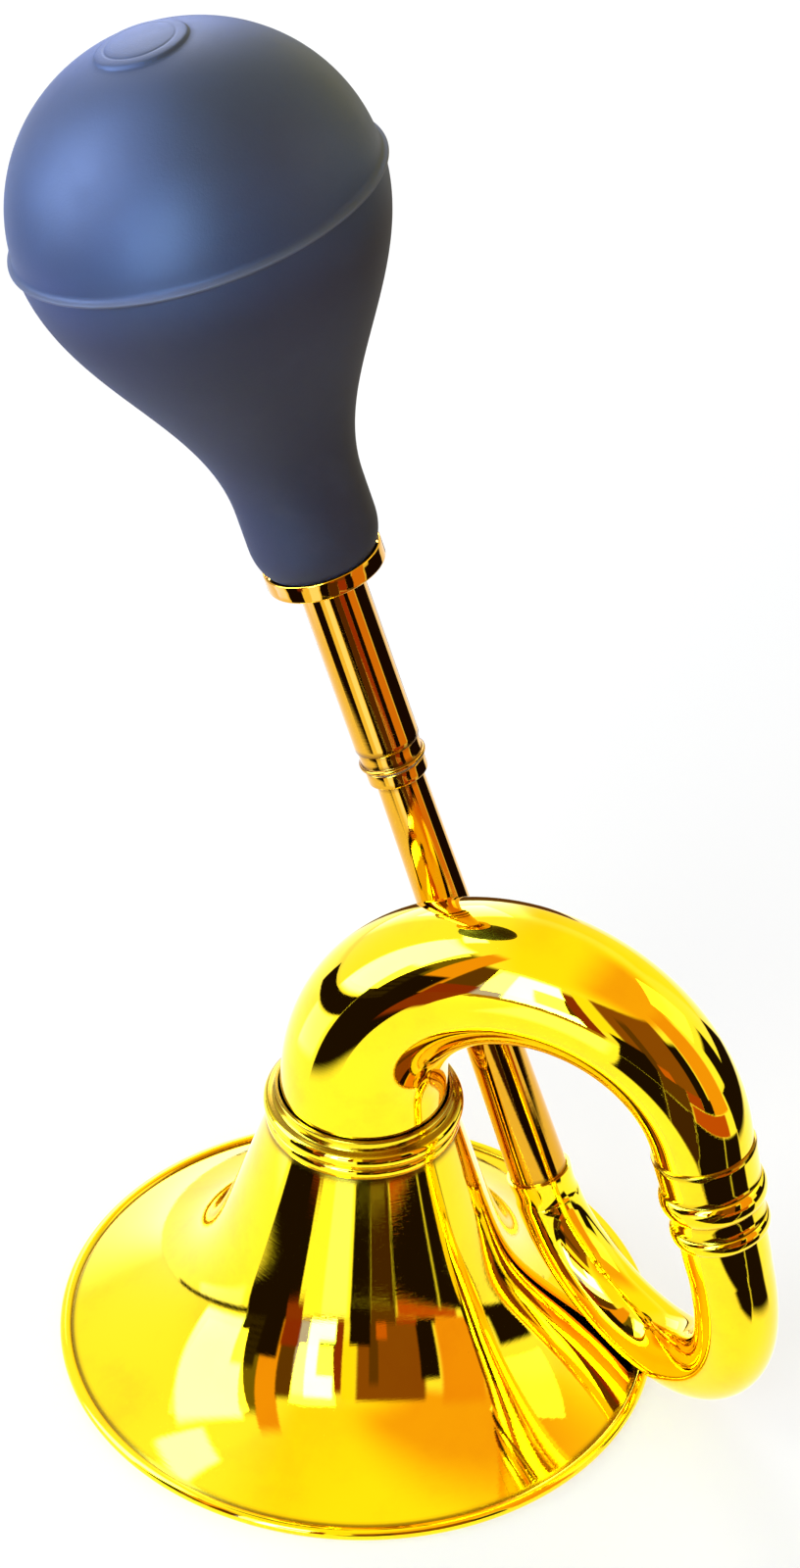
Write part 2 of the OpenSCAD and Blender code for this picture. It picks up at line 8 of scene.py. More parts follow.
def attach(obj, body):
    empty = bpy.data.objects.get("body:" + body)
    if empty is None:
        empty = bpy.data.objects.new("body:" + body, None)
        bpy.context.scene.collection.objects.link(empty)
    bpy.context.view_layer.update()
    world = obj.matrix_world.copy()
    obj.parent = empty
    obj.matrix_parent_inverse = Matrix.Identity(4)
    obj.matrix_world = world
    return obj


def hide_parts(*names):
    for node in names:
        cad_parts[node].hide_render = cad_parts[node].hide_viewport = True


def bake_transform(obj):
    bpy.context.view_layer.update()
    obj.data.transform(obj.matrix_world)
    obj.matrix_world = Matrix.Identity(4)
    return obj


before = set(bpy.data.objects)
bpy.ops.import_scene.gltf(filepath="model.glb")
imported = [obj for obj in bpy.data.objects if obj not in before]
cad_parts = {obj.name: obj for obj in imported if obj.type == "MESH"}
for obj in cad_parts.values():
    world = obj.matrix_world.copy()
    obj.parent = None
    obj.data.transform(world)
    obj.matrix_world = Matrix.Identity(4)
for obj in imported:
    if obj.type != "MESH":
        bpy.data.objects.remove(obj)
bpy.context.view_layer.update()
MM = 0.001
STRETCH = 1.6  # longest straight run of a turned outline without a point on it, in millimetres
MERGE = 2e-6  # points nearer than this become one, in metres

# Sizes of the horn in millimetres, as in the part's source
FIT = 0.05  # clearance of a sleeve round its tube
BELL_H = 77
NECK_R = 25
BELL_WALL = 0.8
THROAT_SLOPE = 0.3
FLARE_POWER = 6
RIM_R = 78.3
RIM_Z = 1.55
RIM_ROLL = 1.7
BOW_BIG = 22.4
BOW_SMALL = 12.2
BOW_R = 46.8
BOW_Z0 = 74
BOW_RISE = 19.6
BOW_TAIL = 17.4
BOW_LEAN = 14
BOW_TAPER = 1.3
BOW_WALL = 0.8
FERRULE_STOP = 1  # half the rib inside the bow ferrule that both tubes stop at
PIPE_LEAN = 19.8
PIPE_BIG = 8
PIPE_SMALL = 6.3
PIPE_WALL = 0.8
PIPE_BELOW = 48.5
LOW_BIG = 11.5
LOW_SMALL = 8.75
LOW_DROP = 26
LOW_WALL = 0.7
BEND_FRONT = 68.005
BEND_BACK = 38
LAP = 8
RING_TOP = 92.298
RING_H = 4.2
COLLAR_0 = RING_TOP + 0.8
BARREL_0 = COLLAR_0 + 5.2
BARREL_LEN = 54.8
CUP_FLOOR = BARREL_0 + BARREL_LEN
CUP_0 = CUP_FLOOR - 3.2
CUP_FOOT = CUP_0 - 1.6
CUP_RIM = CUP_FLOOR + 1.8
SEAM = CUP_FLOOR + 102
BULB_R = 47
BULB_NECK = 16.7
BULB_TAPER = 82
DOME_H = 45.5
DISC_R = 12
DISC_H = 0.7

# Where the two straight legs lie: points and directions of the ferrule's and the pipe's axes
FERRULE = Vector((96.661, 0, 87.0685))
PIPE = Vector((25.861, 28.067, 87.0685))


def leaning(degrees):
    """Unit vector up along an axis that leans towards -X."""
    return Vector((-math.sin(math.radians(degrees)), 0, math.cos(math.radians(degrees))))


def on_ferrule(height):
    """Point on the ferrule's axis, in millimetres."""
    return FERRULE + leaning(BOW_LEAN) * height


def on_pipe(height):
    """Point on the lead pipe's axis, in millimetres."""
    return PIPE + leaning(PIPE_LEAN) * height


def deselect():
    """Leaves edit mode and selects nothing."""
    if bpy.context.object and bpy.context.object.mode != "OBJECT":
        bpy.ops.object.mode_set(mode="OBJECT")
    bpy.ops.object.select_all(action="DESELECT")


def work_on(piece):
    """Makes this piece the only selected and the active one."""
    deselect()
    piece.select_set(True)
    bpy.context.view_layer.objects.active = piece


def settle(piece, place=None, crease=40):
    """Puts the piece's place into its mesh, and smooths it but for its sharp edges."""
    work_on(piece)
    if place is not None:
        piece.matrix_world = place
    bpy.ops.object.transform_apply(location=True, rotation=True, scale=True)
    bpy.ops.object.shade_smooth_by_angle(angle=math.radians(crease))
    return piece


def axis_place(origin, lean):
    """Matrix that stands an upright piece on a leaning axis."""
    return Matrix.Translation(origin * MM) @ Matrix.Rotation(-math.radians(lean), 4, "Y")


def turned(name, outline, steps=144):
    """A turned piece: a closed outline of (radius, height), drawn by extruding a point, spun round Z."""
    deselect()
    bpy.ops.mesh.primitive_plane_add(size=MM)
    piece = bpy.context.object
    piece.name = name
    bpy.ops.object.mode_set(mode="EDIT")
    bpy.ops.mesh.select_mode(type="VERT")
    bpy.ops.mesh.select_all(action="SELECT")
    bpy.ops.mesh.merge(type="CENTER")
    bpy.ops.transform.translate(value=(outline[0][0] * MM, 0, outline[0][1] * MM))
    for (r0, z0), (r1, z1) in zip(outline, outline[1:] + outline[:1]):
        parts = max(1, math.ceil(math.hypot(r1 - r0, z1 - z0) / STRETCH))
        step = ((r1 - r0) * MM / parts, 0, (z1 - z0) * MM / parts)
        for _ in range(parts):
            bpy.ops.mesh.extrude_region_move(TRANSFORM_OT_translate={"value": step})
    bpy.ops.mesh.select_all(action="SELECT")
    bpy.ops.mesh.remove_doubles(threshold=MERGE)
    bpy.ops.mesh.spin(steps=steps, angle=2 * math.pi, center=(0, 0, 0), axis=(0, 0, 1))
    join_up()
    return piece


def join_up():
    """Merges points that meet, turns all faces outwards and leaves edit mode."""
    bpy.ops.mesh.select_all(action="SELECT")
    bpy.ops.mesh.remove_doubles(threshold=MERGE)
    bpy.ops.mesh.normals_make_consistent(inside=False)
    bpy.ops.object.mode_set(mode="OBJECT")


def mark_nooks(piece, heights, reach, ring=None):
    """Stores how near each point lies to the grooves at these heights, for the tarnish and painted shade
    there, and how near to one ring (radius, height, reach)."""
    nook = piece.data.attributes.new("nook", "FLOAT", "POINT")
    for v in piece.data.vertices:
        r, z = math.hypot(v.co.x, v.co.y) / MM, v.co.z / MM
        near = max(math.exp(-((z - h) / reach) ** 2) for h in heights)
        if ring:
            near = max(near, math.exp(-((math.dist((r, z), ring[:2])) / ring[2]) ** 2))
        nook.data[v.index].value = near


def arc(r, z, size_r, size_z, start, end, count):
    """Points of an elliptic arc in the outline's plane, from one angle to another."""
    angles = [math.radians(start + (end - start) * i / count) for i in range(count + 1)]
    return [(r + size_r * math.cos(a), z + size_z * math.sin(a)) for a in angles]


def bead(r0, r1, z0, height, count=14):
    """A half-round bead that stands out from r0 to r1, from z0 upwards."""
    return arc(r0, z0 + height / 2, r1 - r0, height / 2, -90, 90, count)


def rounded(r, z0, z1, edge, count=6):
    """An upright outer face from z0 to z1, both its edges rounded."""
    foot = arc(r - edge, z0 + edge, edge, edge, -90, 0, count)
    return foot + arc(r - edge, z1 - edge, edge, edge, 0, 90, count)


# Camera at the photograph's viewing angle, fitted to its outlines
CAMERA_AT = (0.41716, -1.06703, 1.10911)
AZIMUTH, PITCH, ROLL = (math.radians(a) for a in (21.011, 38.781, 1.864))
look = Vector((-math.sin(AZIMUTH) * math.cos(PITCH), math.cos(AZIMUTH) * math.cos(PITCH), -math.sin(PITCH)))
level = Vector((math.cos(AZIMUTH), math.sin(AZIMUTH), 0))
rise = level.cross(look)
right = level * math.cos(ROLL) + rise * math.sin(ROLL)
upward = rise * math.cos(ROLL) - level * math.sin(ROLL)
lens = bpy.data.cameras.new("camera")
lens.lens = 135
lens.sensor_width = 36
lens.clip_start = 0.05
lens.clip_end = 50
camera = bpy.data.objects.new("camera", lens)
bpy.context.scene.collection.objects.link(camera)
facing = Matrix((right, upward, -look)).transposed().to_4x4()
camera.matrix_world = Matrix.Translation(CAMERA_AT) @ facing
bpy.context.scene.camera = camera


# Pieces of the horn, from the bell's sheet to the rubber bulb
def bell_mid(w):
    """Middle of the bell's sheet, from the neck at 0 to the rim at 1, and how steeply it widens there."""
    drop = BELL_H - RIM_Z
    flare = RIM_R - (NECK_R - BELL_WALL / 2) - THROAT_SLOPE * drop
    r = NECK_R - BELL_WALL / 2 + THROAT_SLOPE * w * drop + flare * w ** FLARE_POWER
    slope = THROAT_SLOPE + flare * FLARE_POWER * w ** (FLARE_POWER - 1) / drop
    return r, BELL_H - w * drop, slope


def bell_face(w, offset):
    """Point on a face of the bell's sheet, offset from its middle."""
    r, z, slope = bell_mid(w)
    size = math.hypot(1, slope)
    return r + offset / size, z + offset * slope / size


def make_bell():
    """The bell: a sheet whose throat opens gradually into the flare, rolled over its wire at the mouth."""
    count, crowding = 80, 1.8  # points along the sheet, closer together towards the rim
    steps = [1 - (1 - i / count) ** crowding for i in range(count + 1)]
    half = BELL_WALL / 2
    slope = bell_mid(1)[2]
    comes_in = 180 - math.degrees(math.atan(1 / slope))
    share = math.degrees(math.asin(half / RIM_ROLL))
    flat = math.degrees(math.acos(RIM_Z / RIM_ROLL))
    far = RIM_ROLL + 0.25  # points of the sheet nearer to the wire give way to the roll
    outside = [bell_face(w, half) for w in steps]
    inside = [bell_face(w, -half) for w in reversed(steps)]
    outside = [p for p in outside if math.dist(p, (RIM_R, RIM_Z)) > far]
    inside = [p for p in inside if math.dist(p, (RIM_R, RIM_Z)) > far]
    roll = arc(RIM_R, RIM_Z, RIM_ROLL, RIM_ROLL, comes_in - share, flat - 90, 30)
    under = arc(RIM_R, RIM_Z, RIM_ROLL, RIM_ROLL, -90 - flat, comes_in + share - 360, 10)
    bell = turned("brass_bell", outside + roll + under + inside, 192)
    behind_roll = (76.7, 2.6, 0.7)  # radius, height and reach of the nook there
    mark_nooks(bell, [BELL_H], 1.2, behind_roll)
    return settle(bell, crease=50)


def make_neck_ferrule():
    """Ferrule of two beads between the bell and the bow, with its spigot in the bell's neck."""
    bore, tail, ledge = BOW_BIG + FIT, NECK_R - BELL_WALL - FIT, BOW_BIG - BOW_WALL
    groove, low_r, up_r = NECK_R - 0.3, 25.6, 26.2
    low_h, up_h, sleeve_h, edge = 3.6, 4.6, 3, 0.4
    sleeve = bore + 0.9
    foot = BELL_H - 6.5
    z1 = BELL_H + low_h
    z2 = z1 + up_h
    z3 = z2 + sleeve_h
    outline = [(ledge, foot), (tail, foot), (tail, BELL_H), (groove, BELL_H)]
    outline += bead(groove, low_r, BELL_H, low_h)
    outline += bead(groove, up_r, z1, up_h, 18)
    outline += [(sleeve + 0.4, z2 + 0.05), (sleeve + 0.1, z2 + 0.3), (sleeve, z2 + 0.7)]
    outline += arc(sleeve - edge, z3 - edge, edge, edge, 0, 90, 5)
    outline += [(bore, z3), (bore, BOW_Z0), (ledge, BOW_Z0)]
    ferrule = turned("neck_ferrule_beads", outline)
    mark_nooks(ferrule, [BELL_H, z1, z2, z3], 0.38)
    return settle(ferrule)


def make_main_bow():
    """The large bow: a ring of brass extruded and turned round the bend, drawn in as it goes."""
    arc_len = BOW_R * math.radians(180 - BOW_LEAN)
    length = BOW_RISE + arc_len + BOW_TAIL
    rise_cuts, bend_cuts, tail_cuts = 5, 64, 4

    def girth(s):
        """Radius at a length along the bow."""
        return BOW_SMALL + (BOW_BIG - BOW_SMALL) * (1 - (s / length) ** BOW_TAPER)

    def station(s):
        """Point and bend angle at a length along the bow."""
        bend = max(0, min(arc_len, s - BOW_RISE)) / BOW_R
        along = Vector((math.sin(bend), 0, math.cos(bend)))
        if s < BOW_RISE:
            return Vector((0, 0, BOW_Z0 + s)), bend
        point = Vector((BOW_R * (1 - math.cos(bend)), 0, BOW_Z0 + BOW_RISE + BOW_R * math.sin(bend)))
        return point + along * max(0, s - BOW_RISE - arc_len), bend

    cuts = [BOW_RISE * i / rise_cuts for i in range(rise_cuts)]
    cuts += [BOW_RISE + arc_len * i / bend_cuts for i in range(bend_cuts + 1)]
    cuts += [length - BOW_TAIL * i / tail_cuts for i in reversed(range(tail_cuts))]
    deselect()
    foot = station(0)[0]
    bpy.ops.mesh.primitive_circle_add(vertices=96, radius=girth(0) * MM, location=foot * MM)
    bow = bpy.context.object
    bow.name = "main_bow_tube"
    bpy.ops.object.transform_apply(location=True, rotation=True, scale=True)
    bpy.ops.object.mode_set(mode="EDIT")
    bpy.ops.mesh.select_all(action="SELECT")
    for before, s in zip(cuts, cuts[1:]):
        old, old_bend = station(before)
        point, bend = station(s)
        bpy.ops.mesh.extrude_region_move(TRANSFORM_OT_translate={"value": (point - old) * MM})
        if bend > old_bend:
            bpy.ops.transform.rotate(value=old_bend - bend, orient_axis="Y", orient_type="GLOBAL",
                                     center_override=point * MM)
        size = girth(s) / girth(before)
        bpy.ops.transform.resize(value=(size, size, size), center_override=point * MM)
    bpy.ops.mesh.select_all(action="SELECT")
    bpy.ops.mesh.normals_make_consistent(inside=False)
    bpy.ops.object.mode_set(mode="OBJECT")
    wall_up(bow, BOW_WALL)
    return settle(bow)


def wall_up(tube, thickness):
    """Gives an open tube its sheet thickness, inwards."""
    work_on(tube)
    bpy.ops.object.modifier_add(type="SOLIDIFY")
    tube.modifiers[-1].thickness = thickness * MM
    tube.modifiers[-1].offset = -1
    bpy.ops.object.modifier_apply(modifier=tube.modifiers[-1].name)


def make_bow_ferrule():
    """Ferrule of a sleeve and two beads, where the main bow goes into the lower one."""
    top, foot, stop = 14, -13, FERRULE_STOP
    foot_r, foot_h, collar_r, collar_h = 13.2, 4.4, 14.2, 6.8
    sheet = 0.6
    low_groove, collar_groove = foot + 4.6, 3.5
    bore, mouth, low_bore = BOW_SMALL + FIT, BOW_SMALL + 1.0, LOW_BIG + FIT
    skin = max(low_bore, bore - 0.4) + sheet
    rib = LOW_BIG - LOW_WALL
    outline = [(low_bore, foot), (low_bore + sheet, foot)]
    outline += bead(low_bore + sheet, foot_r, foot, foot_h)
    outline += [(skin + 0.25, low_groove), (skin, foot + 5.2), (skin, -4.0), (skin + 0.06, -3.6)]
    outline += bead(skin + 0.1, collar_r, -collar_h / 2, collar_h, 18)
    outline += [(bore + 1.1, collar_groove), (bore + 0.95, 3.9)]
    outline += [(mouth + sheet, top - 0.3), (mouth + 0.45, top), (mouth, top)]
    outline += [(bore, stop), (rib, stop), (rib, -stop), (low_bore, -stop)]
    ferrule = turned("bow_ferrule_beads", outline)
    mark_nooks(ferrule, [foot, low_groove, -collar_groove, collar_groove, top], 0.4)
    return settle(ferrule, axis_place(FERRULE, BOW_LEAN))


def make_lower_bow():
    """The lower bow: a tube along one smooth bend, from the ferrule to its lap over the lead pipe."""
    deselect()
    bpy.ops.curve.primitive_bezier_curve_add()
    line = bpy.context.object
    spline = line.data.splines[0]
    spline.bezier_points.add(2)
    bend = [on_ferrule(-LOW_DROP), on_ferrule(-LOW_DROP - BEND_FRONT),
            on_pipe(-PIPE_BELOW - BEND_BACK), on_pipe(-PIPE_BELOW)]
    legs = [on_ferrule(-FERRULE_STOP), bend[0], bend[3], on_pipe(-PIPE_BELOW + LAP)]
    slack = [legs[1] - legs[0], legs[3] - legs[2]]
    leg_taper = 0.1  # share of the taper that the leg in the ferrule takes
    leg = LOW_BIG - (LOW_BIG - LOW_SMALL) * leg_taper
    girths = [LOW_BIG, leg, LOW_SMALL, LOW_SMALL]
    handles = [(legs[0] - slack[0] / 3, legs[0] + slack[0] / 3), (legs[1] - slack[0] / 3, bend[1]),
               (bend[2], legs[2] + slack[1] / 3), (legs[3] - slack[1] / 3, legs[3] + slack[1] / 3)]
    for point, at, (left, ahead), girth in zip(spline.bezier_points, legs, handles, girths):
        point.handle_left_type = point.handle_right_type = "FREE"
        point.co = at * MM
        point.handle_left = left * MM
        point.handle_right = ahead * MM
        point.radius = girth * MM
    spline.resolution_u = 40
    spline.radius_interpolation = "CARDINAL"
    line.data.dimensions = "3D"
    line.data.bevel_depth = 1
    line.data.bevel_resolution = 22
    line.data.use_fill_caps = False
    line.data.twist_mode = "MINIMUM"
    bpy.ops.object.convert(target="MESH")
    bow = bpy.context.object
    bow.name = "lower_bow_tube"
    bpy.ops.object.mode_set(mode="EDIT")
    join_up()
    wall_up(bow, LOW_WALL)
    return settle(bow)


def make_lead_pipe():
    """The straight pipe, slightly tapered, from the lower bow up to its ring."""
    low, top = -PIPE_BELOW + 0.4, RING_TOP

    def girth(z):
        """Radius at a height on the pipe's axis."""
        return PIPE_BIG - (PIPE_BIG - PIPE_SMALL) * (z + PIPE_BELOW) / (PIPE_BELOW + RING_TOP)

    outline = [(girth(low), low), (girth(top), top)]
    outline += [(girth(top) - PIPE_WALL, top), (girth(low) - PIPE_WALL, low)]
    pipe = turned("lead_pipe_tube", outline, 96)
    mark_nooks(pipe, [-PIPE_BELOW + LAP, RING_TOP - RING_H], 0.9)
    return settle(pipe, axis_place(PIPE, PIPE_LEAN))


def make_pipe_ring():
    """Plain ring round the end of the lead pipe."""
    r, low_bore, top_bore, edge = 7.9, 6.4, 6.35, 0.45
    foot = RING_TOP - RING_H
    outline = [(low_bore, foot)] + rounded(r, foot, RING_TOP, edge) + [(top_bore, RING_TOP)]
    ring = turned("pipe_ring_band", outline, 96)
    mark_nooks(ring, [foot, RING_TOP], 0.3)
    return settle(ring, axis_place(PIPE, PIPE_LEAN))


def make_barrel_ring():
    """Screwed collar on the barrel's end, with a thin lip round its foot and a sleeve inside the barrel."""
    r, lip, lip_edge, bore, sleeve = 8.1, 8.8, 0.4, 6.3, 7.75
    step, end = COLLAR_0 + 1.1, BARREL_0 + 5
    outline = [(bore, COLLAR_0)] + rounded(lip, COLLAR_0, step, lip_edge)
    outline += [(r + 0.12, step + 0.02), (r + 0.03, step + 0.1), (r, step + 0.25)]
    outline += arc(r - 0.2, BARREL_0 - 0.3, 0.2, 0.3, 0, 90, 4)
    outline += [(sleeve, BARREL_0), (sleeve, end), (bore, end)]
    ring = turned("barrel_ring_collar", outline, 96)
    mark_nooks(ring, [COLLAR_0, step + 0.1, BARREL_0], 0.3)
    return settle(ring, axis_place(PIPE, PIPE_LEAN))


def make_barrel():
    """Straight tube over the reed, its two ends rounded off."""
    r, bore, edge = 8.5, 7.8, 0.2
    outline = [(bore, BARREL_0), (r - edge, BARREL_0), (r - 0.06, BARREL_0 + 0.06), (r, BARREL_0 + edge)]
    outline += [(r, CUP_FLOOR - edge), (r - edge, CUP_FLOOR), (bore, CUP_FLOOR)]
    barrel = turned("barrel_tube", outline, 96)
    mark_nooks(barrel, [BARREL_0, CUP_FOOT], 0.7)
    return settle(barrel, axis_place(PIPE, PIPE_LEAN))


def make_bulb_cup():
    """Dished cup that the bulb's neck sits in."""
    r, bore, edge, lip = 15.5, 8.55, 0.6, 0.35
    outline = [(bore, CUP_FOOT), (bore + 0.7, CUP_FOOT), (bore + 0.95, CUP_FOOT + 0.25)]
    outline += arc(bore + 2.4, CUP_FOOT + 0.3, 1.4, 1.25, 170, 95, 6)
    outline += arc(r - edge, CUP_0 + edge, edge, edge, -90, 0, 6)
    outline += arc(r - lip, CUP_RIM - lip, lip, lip, 0, 180, 8)
    outline += [(r - 2 * lip, CUP_FLOOR), (bore, CUP_FLOOR)]
    cup = turned("bulb_cup_dish", outline, 128)
    mark_nooks(cup, [CUP_FOOT + 0.1], 0.5)
    return settle(cup, axis_place(PIPE, PIPE_LEAN))


def make_bulb():
    """The rubber bulb: pear-shaped below its seam, round above, hollow, with a moulded disc on top."""
    end, end_h, bore, wide, wall = 11.3, 10, 8.05, 8.8, 4
    hollow, bore_top = 69, 77  # how far below the seam the hollow tapers, and where its bore begins

    def swell(u):
        """Radius at a depth below the seam."""
        return BULB_NECK + (BULB_R - BULB_NECK) / 2 * (1 + math.cos(math.pi * u / BULB_TAPER))

    def dome(r):
        """Height of the round upper half at a radius."""
        return SEAM + DOME_H * math.sqrt(1 - (r / BULB_R) ** 2)

    outside = [(wide, CUP_FLOOR)] + arc(end, CUP_FLOOR + end_h, BULB_NECK - end, end_h, -90, 0, 18)
    outside += [(swell(u), SEAM - u) for u in (BULB_TAPER * (1 - i / 60) for i in range(60))]
    outside += [(BULB_R - 0.05, SEAM - 0.25), (BULB_R + 0.15, SEAM - 0.05)]
    outside += arc(BULB_R + 0.85, SEAM + 0.5, 0.55, 0.5, -90, 60, 8)
    outside += [(BULB_R + 0.75, SEAM + 1.1), (BULB_R + 0.3, SEAM + 1.45), (BULB_R + 0.03, SEAM + 1.9)]
    rim = math.degrees(math.acos(DISC_R / BULB_R))
    outside += arc(0, SEAM, BULB_R, DOME_H, 3.5, rim - 0.6, 46)
    lift = [(DISC_R + 0.15, 0.1), (DISC_R - 0.05, 0.4), (DISC_R - 0.3, 0.62), (DISC_R - 0.7, DISC_H),
            (DISC_R - 2.3, DISC_H), (DISC_R - 2.6, 0.66), (DISC_R - 2.9, 0.55), (DISC_R - 3.2, 0.66),
            (DISC_R - 3.5, DISC_H)] + [(r, DISC_H) for r in (7, 5, 3, 1.4, 0)]
    outside += [(r, dome(r) + h) for r, h in lift]
    inside = arc(0, SEAM, BULB_R - wall, DOME_H - wall, 90, 0, 40)
    inside += [(swell(u) - wall, SEAM - u) for u in (hollow * i / 40 for i in range(1, 41))]
    inside += [(bore, SEAM - bore_top), (bore, CUP_FLOOR + 1.5), (wide, CUP_FLOOR + 0.9)]
    bulb = turned("rubber_bulb", outside + inside, 160)
    mark_nooks(bulb, [SEAM + 0.6], 0.7)
    return settle(bulb, axis_place(PIPE, PIPE_LEAN), crease=60)


# Finishes: sockets that sum like numbers, and one way to add a node
class Flow:
    """A socket in a finish; sums with it add their Math nodes."""

    def __init__(self, finish, socket):
        self.finish = finish
        self.socket = socket

    def sum(self, how, first, second):
        """Adds the Math node of one operation."""
        return self.finish.node("ShaderNodeMath", {"operation": how}, {0: first, 1: second})

    def __add__(self, other):
        return self.sum("ADD", self, other)

    def __radd__(self, other):
        return self.sum("ADD", other, self)

    def __sub__(self, other):
        return self.sum("SUBTRACT", self, other)

    def __rsub__(self, other):
        return self.sum("SUBTRACT", other, self)

    def __mul__(self, other):
        return self.sum("MULTIPLY", self, other)

    def __rmul__(self, other):
        return self.sum("MULTIPLY", other, self)


class Finish:
    """The nodes of a material, or of the surroundings."""

    def __init__(self, owner):
        self.owner = owner
        owner.use_nodes = True
        self.tree = owner.node_tree
        self.tree.nodes.clear()

    def node(self, kind, settings=None, values=None, out=0):
        """Adds a node: its settings first, then the values or links of its sockets."""
        made = self.tree.nodes.new(kind)
        for key, value in (settings or {}).items():
            setattr(made, key, value)
        for key, value in (values or {}).items():
            if isinstance(value, Flow):
                self.tree.links.new(value.socket, made.inputs[key])
            else:
                made.inputs[key].default_value = value
        return Flow(self, made.outputs[out]) if made.outputs else None

    def place(self, centre=(0, 0, 0), lean=0):
        """Object coordinates, centred on a point in millimetres and turned onto a leaning axis."""
        at = self.node("ShaderNodeTexCoord", out="Object")
        if any(centre):
            middle = tuple(c * MM for c in centre)
            at = self.node("ShaderNodeVectorMath", {"operation": "SUBTRACT"}, {0: at, 1: middle})
        if lean:
            turn = (0, math.radians(lean), 0)
            at = self.node("ShaderNodeMapping", values={"Vector": at, "Rotation": turn})
        return at

    def nook(self):
        """What mark_nooks stored on the piece."""
        return self.node("ShaderNodeAttribute", {"attribute_name": "nook"}, out="Fac")

    def noise(self, at, scale, detail=3, rough=0.5):
        """Noise of so many grains to the metre."""
        return self.node("ShaderNodeTexNoise", values={"Vector": at, "Scale": scale, "Detail": detail,
                                                       "Roughness": rough})

    def band(self, value, low, high):
        """Value spread from 0 at low to 1 at high, smoothly."""
        return self.node("ShaderNodeMapRange", {"interpolation_type": "SMOOTHSTEP", "clamp": True},
                         {0: value, 1: low, 2: high, 3: 0, 4: 1})

    def mix(self, share, first, second):
        """Mix of two colours, through the Mix node's colour sockets."""
        return self.node("ShaderNodeMix", {"data_type": "RGBA"}, {0: share, 6: first, 7: second}, out=2)

    def bump(self, height, distance, strength, under=None):
        """Normal of a relief, laid over another one where it is given."""
        values = {"Height": height, "Distance": distance, "Strength": strength}
        if under is not None:
            values["Normal"] = under
        return self.node("ShaderNodeBump", values=values)

    def close(self, **values):
        """Ends the finish in a Principled surface."""
        named = {key.replace("_", " "): value for key, value in values.items()}
        return self.end(self.node("ShaderNodeBsdfPrincipled", values=named))

    def end(self, surface, kind="ShaderNodeOutputMaterial"):
        """Leads a surface to the output, and gives back what the nodes belong to."""
        self.node(kind, values={"Surface": surface})
        return self.owner


# Colours of the brass
GOLD = (1.0, 0.76, 0.016, 1)
DEEP_GOLD = (0.98, 0.68, 0.013, 1)
BROWN_BRASS = (0.64, 0.27, 0.020, 1)
SMUDGED = (0.84, 0.44, 0.020, 1)
SPECKED = (0.50, 0.24, 0.02, 1)
TARNISH_AND_SHADE = (0.12, 0.04, 0.008, 1)

# Colours of the rubber; the blue one is a painted sheen of cool window light on the upper dome
CHARCOAL = (0.009, 0.007, 0.010, 1)
SOOT = (0.014, 0.011, 0.015, 1)
DUST = (0.036, 0.033, 0.040, 1)
PAINTED_BLUE_SHEEN = (0.022, 0.038, 0.072, 1)
RUBBED_SEAM = (0.11, 0.11, 0.12, 1)


def polished_brass(name, centre=(0, 0, 0), lean=0, lines=0.3, brown_share=0.0):
    """Polished, lightly handled brass: smudges, faint turning lines, tarnish and painted shade in grooves.
    """
    f = Finish(bpy.data.materials.new(name))
    at = f.place(centre, lean)
    broad = f.noise(at, 14, 2)
    smudge = f.band(f.noise(at, 55, 5, 0.6), 0.45, 0.75)
    speck = f.band(f.noise(at, 620, 2), 0.74, 0.82)
    nook = f.nook()
    round_axis = f.node("ShaderNodeMapping", values={"Vector": at, "Scale": (160, 160, 2600)})
    hair = f.noise(round_axis, 1, 3, 0.7)
    gold = f.mix(f.band(broad, 0.35, 0.7), GOLD, DEEP_GOLD)
    brown_mixed = f.mix(brown_share, gold, BROWN_BRASS)
    handled = f.mix(smudge * 0.25, brown_mixed, SMUDGED)
    specked = f.mix(speck * 0.3, handled, SPECKED)
    # grooves darkened nearly to black: tarnish, and painted shade where the crevices fall dark
    colour = f.mix(nook * 0.85, specked, TARNISH_AND_SHADE)
    rough = 0.016 + smudge * 0.015 + hair * 0.01 + nook * 0.2 + speck * 0.1
    dents = f.bump(broad, 0.0009, 0.12)
    normal = f.bump(hair, 0.00002, lines, dents)
    return f.close(Base_Color=colour, Metallic=1.0, Roughness=rough, Normal=normal)


def satin_rubber(name):
    """Moulded charcoal rubber with a fine grain, a painted blue sheen on the upper dome and a rubbed seam.
    """
    f = Finish(bpy.data.materials.new(name))
    at = f.place(PIPE, PIPE_LEAN)
    cloud = f.noise(at, 24, 4, 0.6)
    grain = f.noise(at, 1400, 2)
    pores = f.noise(at, 4200, 2)
    bloom = f.band(f.noise(at, 70, 5, 0.65), 0.45, 0.75)
    seam = f.nook()
    dark = f.mix(f.band(cloud, 0.3, 0.7), CHARCOAL, SOOT)
    dusty = f.mix(bloom * 0.3, dark, DUST)
    height = f.node("ShaderNodeSeparateXYZ", values={0: at}, out="Z")
    # handled marks the upper dome: it is smoother there, and the blue sheen of cool window light is painted
    # into its colour
    handled = f.band(height, (SEAM - 16) * MM, (SEAM + 8) * MM)
    sheened = f.mix(handled * (0.4 + cloud * 0.6), dusty, PAINTED_BLUE_SHEEN)
    colour = f.mix(seam * 0.5, sheened, RUBBED_SEAM)
    rough = 0.72 - handled * 0.22 + cloud * 0.08 + bloom * 0.06
    normal = f.bump(pores, 0.00003, 0.5, f.bump(grain, 0.00006, 0.5))
    return f.close(Base_Color=colour, Roughness=rough, Normal=normal, Specular_IOR_Level=0.42)


